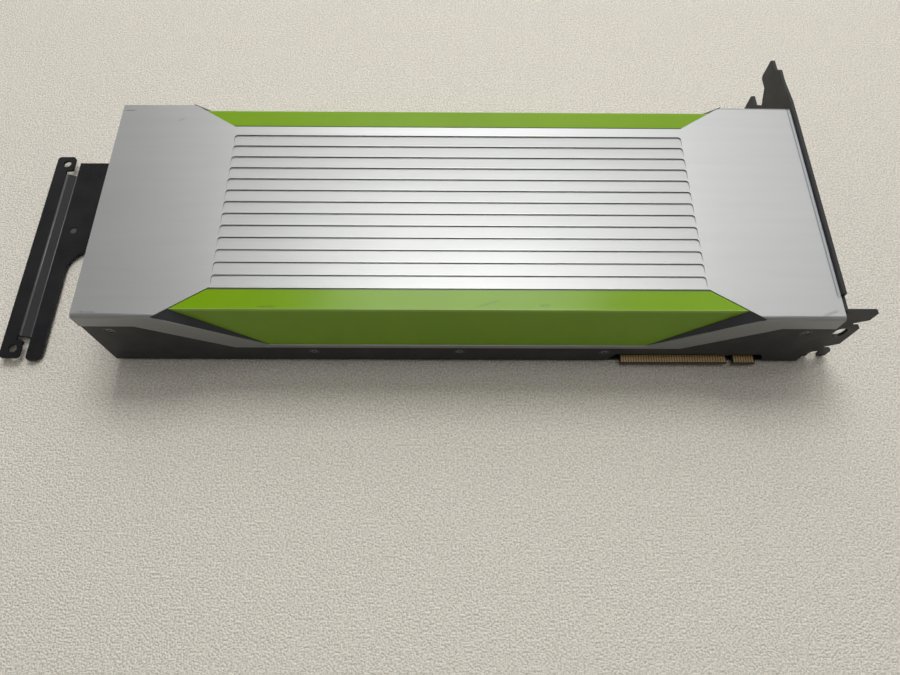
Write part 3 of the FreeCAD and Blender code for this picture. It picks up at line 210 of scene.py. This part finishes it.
class Surface(Nodes):
    """A material with its Principled shader and the object's own coordinates in metres."""

    def __init__(self, name, colour, metallic=0.0, roughness=0.5, **sockets):
        self.material = bpy.data.materials.new(name)
        self.material.use_nodes = True
        super().__init__(self.material.node_tree)
        self.shader = self.tree.nodes["Principled BSDF"]
        self.shader.inputs["Metallic"].default_value = metallic
        self.shader.inputs["Roughness"].default_value = roughness
        self.shader.inputs["Base Color"].default_value = (*colour, 1)
        for label, number in sockets.items():
            self.shader.inputs[label.replace("_", " ")].default_value = number
        self.place = self.node("ShaderNodeTexCoord").outputs["Object"]
        self.base = colour
        # What feeds the shader so far
        self.colour = None
        self.roughness = None
        self.normal = None

    # Patterns and masks

    def noise(self, per_metre, detail=3, stretch=(1, 1, 1)):
        mapping = self.node("ShaderNodeMapping")
        mapping.inputs["Scale"].default_value = stretch
        self.link(self.place, mapping.inputs["Vector"])
        made = self.node("ShaderNodeTexNoise")
        made.inputs["Scale"].default_value = per_metre
        made.inputs["Detail"].default_value = detail
        made.inputs["Roughness"].default_value = 0.55
        self.link(mapping.outputs[0], made.inputs["Vector"])
        return made.outputs["Fac"]

    def band(self, axis, start, end, fade):
        """A stripe across one axis, from start to end metres."""
        return self.between(self.part(self.place, axis), start, end, fade)

    def slope(self, none, full):
        """How far a face looks up, from 0 at none to 1 at full."""
        normal = self.node("ShaderNodeTexCoord").outputs["Normal"]
        return self.scaled(self.part(normal, "Z"), none, full, 0.0, 1.0)

    def streak(self, start, end, width):
        """A soft-edged mark between two places on the XY plane, in metres."""
        start, end = Vector(start), Vector(end)
        middle, along = (start + end) / 2, end - start
        mapping = self.node("ShaderNodeMapping", vector_type="TEXTURE")
        mapping.inputs["Location"].default_value = (middle.x, middle.y, 0)
        mapping.inputs["Rotation"].default_value = (0, 0, math.atan2(along.y, along.x))
        self.link(self.place, mapping.inputs["Vector"])
        sides = []
        for axis, reach in (("X", along.length / 2 + width), ("Y", width)):
            away = self.math("ABSOLUTE", self.part(mapping.outputs[0], axis))
            sides.append(self.scaled(away, reach * 0.5, reach, 1.0, 0.0))
        return self.math("MULTIPLY", *sides)

    def nearest(self, places, flat):
        """Distance to the nearest of some places, seen along the axis that flat leaves out."""
        flatten = self.node("ShaderNodeVectorMath", operation="MULTIPLY")
        self.link(self.place, flatten.inputs[0])
        flatten.inputs[1].default_value = flat
        spots = {tuple(round(a * b, 5) for a, b in zip(place, flat)) for place in places}
        found = None
        for spot in sorted(spots):
            away = self.node("ShaderNodeVectorMath", operation="DISTANCE")
            self.link(flatten.outputs[0], away.inputs[0])
            away.inputs[1].default_value = spot
            value = away.outputs["Value"]
            found = value if found is None else self.math("MINIMUM", found, value)
        return found

    # What the patterns change

    def tint(self, factor, colour):
        """Mix another colour over the present one."""
        mix = self.node("ShaderNodeMix", data_type="RGBA")
        self.link(factor, mix.inputs["Factor"])
        if self.colour is None:
            mix.inputs["A"].default_value = (*self.base, 1)
        else:
            self.link(self.colour, mix.inputs["A"])
        mix.inputs["B"].default_value = (*colour, 1)
        self.colour = mix.outputs["Result"]
        self.link(self.colour, self.shader.inputs["Base Color"])

    def vary(self, value, share):
        """Let the base colour wander, darker by up to a share."""
        darker = tuple(channel * (1 - share) for channel in self.base)
        self.tint(self.scaled(value, 0.35, 0.65, 0.0, 1.0), darker)

    def mark(self, start, end, width, colour, strength):
        """A patchy mark between two places on the cover, in millimetres."""
        ends = [(COVER_LOW.x + x * MM, COVER_LOW.y + y * MM) for x, y in (start, end)]
        patchy = self.scaled(self.noise(1500, 4), 0.35, 0.6, 0.35, 1.0)
        mask = self.math("MULTIPLY", self.streak(*ends, width * MM), patchy)
        self.tint(self.math("MULTIPLY", mask, strength), colour)

    def rough(self, value, low, high):
        """Let the roughness wander from low to high."""
        self.roughness = self.scaled(value, 0.3, 0.7, low, high)
        self.link(self.roughness, self.shader.inputs["Roughness"])

    def dull(self, factor, level):
        """Take the roughness up to a level where the factor is 1."""
        raised = self.math("MULTIPLY", factor, level)
        duller = self.math("MAXIMUM", self.roughness, raised)
        self.link(duller, self.shader.inputs["Roughness"])

    def bump(self, value, depth, strength):
        """Raise the surface by up to depth metres."""
        made = self.node("ShaderNodeBump")
        made.inputs["Strength"].default_value = strength
        made.inputs["Distance"].default_value = depth
        self.link(value, made.inputs["Height"])
        if self.normal is not None:
            self.link(self.normal, made.inputs["Normal"])
        self.normal = made.outputs["Normal"]
        self.link(self.normal, self.shader.inputs["Normal"])


# CAD nodes


def named(start):
    """The CAD nodes whose names begin alike."""
    return [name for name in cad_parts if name.startswith(start)]


def paint(surface, *nodes):
    """Give one finished surface to CAD nodes."""
    for name in nodes:
        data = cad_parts[name].data
        data.materials.clear()
        data.materials.append(surface.material)


def middles(name):
    """The middle of each separate solid of a CAD node."""
    mesh = bmesh.new()
    mesh.from_mesh(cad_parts[name].data)
    bmesh.ops.remove_doubles(mesh, verts=mesh.verts, dist=WELD_GAP)
    waiting = set(mesh.verts)
    found = []
    while waiting:
        solid, front = [], [waiting.pop()]
        while front:
            vertex = front.pop()
            solid.append(vertex.co.copy())
            for edge in vertex.link_edges:
                other = edge.other_vert(vertex)
                if other in waiting:
                    waiting.remove(other)
                    front.append(other)
        spans = ([corner[axis] for corner in solid] for axis in range(3))
        found.append(tuple((min(span) + max(span)) / 2 for span in spans))
    mesh.free()
    return found


def lowest_y(name, above):
    """The lowest Y among a CAD node's corners above a level."""
    corners = (vertex.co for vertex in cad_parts[name].data.vertices)
    return min(corner.y for corner in corners if corner.z > above)


def soften(name, width):
    """Narrow rounded edges, as the folded and painted sheets have."""
    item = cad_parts[name]
    weld = item.modifiers.new("weld", "WELD")
    weld.merge_threshold = WELD_GAP
    bevel = item.modifiers.new("edges", "BEVEL")
    bevel.width = width
    bevel.segments = EDGE_SEGMENTS
    bevel.limit_method = "ANGLE"
    bevel.angle_limit = math.radians(EDGE_ANGLE)


# Finishes


def cover_metal():
    """Bead-blasted, anodised sheet with light handling marks, painted shade on its flanges, and
    a painted reflection and highlight beside the bracket's lip.
    """
    surface = Surface("cover_satin", ALUMINIUM, metallic=0.75, roughness=0.42)
    surface.vary(surface.noise(260, stretch=(0.08, 1, 1)), 0.03)
    surface.rough(surface.noise(30, 2), 0.41, 0.43)
    surface.bump(surface.noise(3800, 2), 0.010 * MM, 0.35)
    # Painted shade: the folded flanges, which face sideways, are tinted darker than the top.
    surface.tint(surface.slope(*FLANGE_SHADE_SLOPE), ALUMINIUM_FLANGE_SHADE)
    # Painted reflection of the bracket's dark lip: beside it, the end is tinted a little darker
    # and cooler, with a painted highlight along it.
    past = COVER_HIGH.x + PAST_EDGE
    lip = lowest_y("bracket", COVER_HIGH.z)
    beside_lip = surface.band("Y", lip, COVER_HIGH.y + PAST_EDGE, PAST_EDGE)
    shade = surface.band("X", COVER_HIGH.x - LIP_SHADE, past, FINE_FADE)
    surface.tint(surface.math("MULTIPLY", shade, beside_lip), ALUMINIUM_PAINTED_SHADE)
    glint = surface.band("X", COVER_HIGH.x - LIP_GLINT, past, LIP_GLINT_FADE)
    surface.tint(surface.math("MULTIPLY", glint, beside_lip), ALUMINIUM_PAINTED_GLINT)
    for mark in COVER_MARKS:
        surface.mark(*mark)
    return surface


def trim_paint():
    """Satin green paint, paler along its folds and rubbed in a few places, with painted shade in
    the seams beside the cover.
    """
    surface = Surface("trim_paint", GREEN, roughness=0.22, Specular_IOR_Level=0.22)
    surface.vary(surface.noise(40), 0.06)
    # Painted shade: the seams beside the cover are tinted darker.
    near, far = COVER_LOW.y + WAIST_INSET, COVER_HIGH.y - WAIST_INSET
    near_seam_shade = surface.band("Y", near - NEAR_SEAM, near + SEAM_OVERLAP, SEAM_FADE)
    surface.tint(near_seam_shade, GREEN_NEAR_SEAM_SHADE)
    far_seam_shade = surface.band("Y", far - SEAM_OVERLAP, far + FAR_SEAM, SEAM_FADE)
    surface.tint(far_seam_shade, GREEN_FAR_SEAM_SHADE)
    # A narrow band along the upper fold of each trim is tinted a little paler.
    fold = lowest_y("trim_near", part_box("trim_near")[1].z - 0.05 * MM)
    mirrored = COVER_LOW.y + COVER_HIGH.y - fold
    for start in (fold - FOLD_BEFORE, mirrored - FOLD_AFTER):
        pale_fold = surface.band("Y", start, start + FOLD_BEFORE + FOLD_AFTER, FINE_FADE)
        surface.tint(pale_fold, GREEN_FOLD_PALE)
    surface.bump(surface.noise(2600, 2), 0.012 * MM, 0.3)
    for mark in TRIM_MARKS:
        surface.mark(*mark)
    return surface


def black_coat(name, colour, roughness, specular=0.5):
    """Powder-coated black metal: fine orange peel and a little uneven sheen."""
    surface = Surface(name, colour, roughness=roughness, Specular_IOR_Level=specular)
    surface.vary(surface.noise(70), 0.25)
    surface.rough(surface.noise(120), roughness - 0.05, roughness + 0.06)
    surface.bump(surface.noise(900), 0.02 * MM, 0.35)
    return surface


def panel_coat():
    """The side panels' paint, paler on the sloped corners and around the screws."""
    surface = black_coat("panel_paint", PANEL_BLACK, 0.46, specular=0.3)
    surface.tint(surface.slope(*FACET_SLOPE), PANEL_FACET)
    away = surface.nearest(middles("side_screws"), (1, 0, 1))
    surface.tint(surface.between(away, *PANEL_RING_SPAN, PANEL_RING_FADE), PANEL_RING)
    return surface


def extender_coat():
    """Smooth black paint, with painted highlights on the bends, and rubbed in the dimple."""
    surface = black_coat("extender_paint", EXTENDER_BLACK, 0.30, specular=0.38)
    # The steep face of the jog is duller than the bends on either side of it.
    surface.dull(surface.slope(*JOG_SLOPE), 0.65)
    # Painted highlight: the bends beside the jog's steep face are tinted paler.
    bend_highlight = surface.slope(*BEND_HIGHLIGHT_SLOPE)
    off_jog = surface.slope(*OFF_JOG_SLOPE)
    surface.tint(surface.math("MULTIPLY", bend_highlight, off_jog), EXTENDER_BEND_HIGHLIGHT)
    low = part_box("extender")[0]
    dimple = (low.x + DIMPLE[0], COVER_LOW.y + DIMPLE[1], 0)
    away = surface.nearest([dimple], (1, 1, 0))
    surface.tint(surface.scaled(away, *DIMPLE_SPAN, 0.8, 0.0), EXTENDER_RUBBED)
    return surface


def screw_finish(surface, node, flat, recess):
    """A round drive recess in the middle of each head, darkened with painted shade, with a
    bright rim round it.
    """
    away = surface.nearest(middles(node), flat)
    surface.tint(surface.between(away, recess, recess + RIM_WIDTH, FINE_FADE), SCREW_RIM)
    # Painted shade: the recess is tinted near black, and the bump sinks it a little.
    surface.tint(surface.scaled(away, recess - RECESS_FADE, recess, 1.0, 0.0), SCREW_RECESS_SHADE)
    raised = surface.scaled(away, recess - RECESS_SLOPE, recess, 0.0, 1.0)
    surface.bump(raised, RECESS_DEPTH, 0.8)
    return surface


def board_laminate():
    """Satin solder mask over the board's weave."""
    surface = Surface(
        "board_laminate", BOARD_GREEN, roughness=0.42, Coat_Weight=0.3, Coat_Roughness=0.25
    )
    surface.vary(surface.noise(500, stretch=(1, 0.2, 1)), 0.3)
    surface.bump(surface.noise(1400, 2), 0.01 * MM, 0.3)
    return surface


def plated(name, colour, roughness):
    """Thin plating with an uneven sheen."""
    surface = Surface(name, colour, metallic=1.0, roughness=roughness)
    surface.vary(surface.noise(900), 0.12)
    surface.rough(surface.noise(1500), roughness - 0.06, roughness + 0.08)
    return surface


def moulded(name, colour, roughness):
    """Plastic, ceramic or soft pad with a fine grain."""
    surface = Surface(name, colour, roughness=roughness)
    surface.vary(surface.noise(300), 0.15)
    surface.bump(surface.noise(2200, 2), 0.01 * MM, 0.4)
    return surface


def bare_metal(name, colour, roughness, grain=(1, 1, 1)):
    """Uncoated metal, its grain drawn out along an axis where grain is small."""
    surface = Surface(name, colour, metallic=1.0, roughness=roughness)
    surface.vary(surface.noise(200, stretch=grain), 0.12)
    surface.bump(surface.noise(1800, stretch=grain), 0.01 * MM, 0.4)
    return surface


def paint_outside():
    """The sheets, the fasteners and the board's edges and contacts."""
    paint(cover_metal(), "cover")
    paint(trim_paint(), "trim_near", "trim_far")
    paint(panel_coat(), "side_panel_near", "side_panel_far")
    paint(black_coat("bracket_paint", BRACKET_BLACK, 0.50, specular=0.35), "bracket")
    paint(extender_coat(), "extender")
    backplate = black_coat("backplate_paint", BACKPLATE_BLACK, 0.5)
    paint(backplate, "backplate", "retention_plate")
    side_screws = black_coat("side_screw_paint", SIDE_SCREW_BLACK, 0.35)
    paint(screw_finish(side_screws, "side_screws", (1, 0, 1), SIDE_RECESS), "side_screws")
    for node in ("backplate_screws", "retention_screws", "extender_screws", "bracket_screws"):
        flat = (0, 1, 1) if node == "bracket_screws" else (1, 1, 0)
        steel = bare_metal("screw_steel", SCREW_STEEL, 0.34)
        paint(screw_finish(steel, node, flat, STEEL_RECESS), node)
    paint(board_laminate(), "circuit_board")
    paint(plated("contact_gold", GOLD, 0.55), "edge_contacts", "bridge_contacts")


def paint_inside():
    """What shows through the open ends, if at all."""
    paint(bare_metal("fin_metal", FIN_METAL, 0.36, grain=(1, 0.1, 1)), "fin_stack")
    paint(plated("pin_metal", PIN_METAL, 0.3), "power_pins")
    for name, colour, roughness, node in (
        ("casting", (0.20, 0.20, 0.21), 0.55, "base_plate"),
        ("chamber_copper", (0.60, 0.30, 0.18), 0.35, "vapour_chamber"),
        ("stiffener_metal", (0.45, 0.45, 0.46), 0.4, "gpu_stiffener"),
    ):
        paint(bare_metal(name, colour, roughness), node)
    chokes = [node for node in named("choke_") if node != "choke_pad"]
    pads = [*named("memory_pad"), "choke_pad", "power_stage_pad"]
    for name, colour, roughness, nodes in (
        ("socket_plastic", (0.012, 0.012, 0.013), 0.5, ["power_connector"]),
        ("package_black", (0.015, 0.015, 0.016), 0.55, [*named("memory_chip"), "power_stages"]),
        ("choke_grey", (0.03, 0.03, 0.032), 0.7, chokes),
        ("pad_grey", (0.18, 0.20, 0.22), 0.8, pads),
        ("capacitor_case", (0.06, 0.06, 0.06), 0.6, ["capacitors"]),
        ("package_laminate", (0.012, 0.04, 0.016), 0.45, ["gpu_substrate"]),
        ("silicon", (0.05, 0.05, 0.06), 0.15, ["gpu_die"]),
        ("paste", (0.25, 0.25, 0.26), 0.7, ["thermal_paste"]),
    ):
        paint(moulded(name, colour, roughness), *nodes)


# Surroundings


def add_to_scene(name, data, place, turn):
    item = bpy.data.objects.new(name, data)
    item.location = place
    item.rotation_euler = turn
    bpy.context.scene.collection.objects.link(item)
    return item


def place_camera():
    data = bpy.data.cameras.new("camera")
    data.lens = CAMERA_LENS
    data.sensor_width = CAMERA_SENSOR
    data.clip_start = CAMERA_NEAR
    turn = [math.radians(angle) for angle in CAMERA_TURN]
    bpy.context.scene.camera = add_to_scene("camera", data, CAMERA_PLACE, turn)


def light_room():
    """Dim above, with pale low walls for metal to mirror and a pale backdrop for the camera."""
    world = bpy.data.worlds.new("room")
    world.use_nodes = True
    sky = Nodes(world.node_tree)
    background = sky.tree.nodes["Background"]
    background.inputs["Color"].default_value = (*ROOM_TINT, 1)
    direction = sky.node("ShaderNodeTexCoord").outputs["Generated"]
    walls = sky.scaled(sky.part(direction, "Y"), *FRONT_TO_BACK, ROOM_FRONT, ROOM_BACK)
    low = sky.scaled(sky.part(direction, "Z"), *DARK_TO_WALL, 0.0, 1.0)
    ray = sky.node("ShaderNodeLightPath")
    walls = sky.math("MULTIPLY", walls, low)
    mirrored = sky.math("MULTIPLY", ray.outputs["Is Glossy Ray"], walls)
    backdrop = sky.math("MULTIPLY", ray.outputs["Is Camera Ray"], BACKDROP)
    strength = sky.math("ADD", sky.math("ADD", mirrored, backdrop), ROOM_FILL)
    sky.link(strength, background.inputs["Strength"])
    bpy.context.scene.world = world


def hang_lamps():
    for name, (place, size, power) in LAMPS.items():
        data = bpy.data.lights.new(name, "AREA")
        data.shape = "RECTANGLE"
        data.size, data.size_y = size
        data.energy = power
        aim = Vector(LAMP_TARGET) - Vector(place)
        add_to_scene(name, data, place, aim.to_track_quat("-Z", "Y").to_euler())


def lay_floor():
    """A large pale mat with a pebbled grain."""
    bpy.ops.mesh.primitive_plane_add(size=FLOOR_SIZE, location=(0, 0, 0))
    floor = bpy.context.object
    floor.name = "floor"
    surface = Surface("mat", MAT, roughness=0.5)
    surface.vary(surface.noise(1400, 1), 0.3)
    surface.bump(surface.noise(700, 1), 0.3 * MM, 0.5)
    surface.bump(surface.noise(1400, 1), 0.65 * MM, 0.9)
    # Far off, beyond the lamps' reach, the camera sees the mat as pale as it is nearby.
    away = surface.node("ShaderNodeVectorMath", operation="LENGTH")
    surface.link(surface.place, away.inputs[0])
    pale = surface.scaled(away.outputs["Value"], GLOW_START, GLOW_FULL, 0.0, GLOW_STRENGTH)
    seen = surface.node("ShaderNodeLightPath").outputs["Is Camera Ray"]
    surface.shader.inputs["Emission Color"].default_value = (*MAT, 1)
    glow = surface.math("MULTIPLY", pale, seen)
    surface.link(glow, surface.shader.inputs["Emission Strength"])
    floor.data.materials.append(surface.material)


place_camera()
light_room()
hang_lamps()
lay_floor()
paint_outside()
paint_inside()
for sheet, width in EDGES.items():
    soften(sheet, width)

bpy.context.scene.view_settings.view_transform = "Standard"
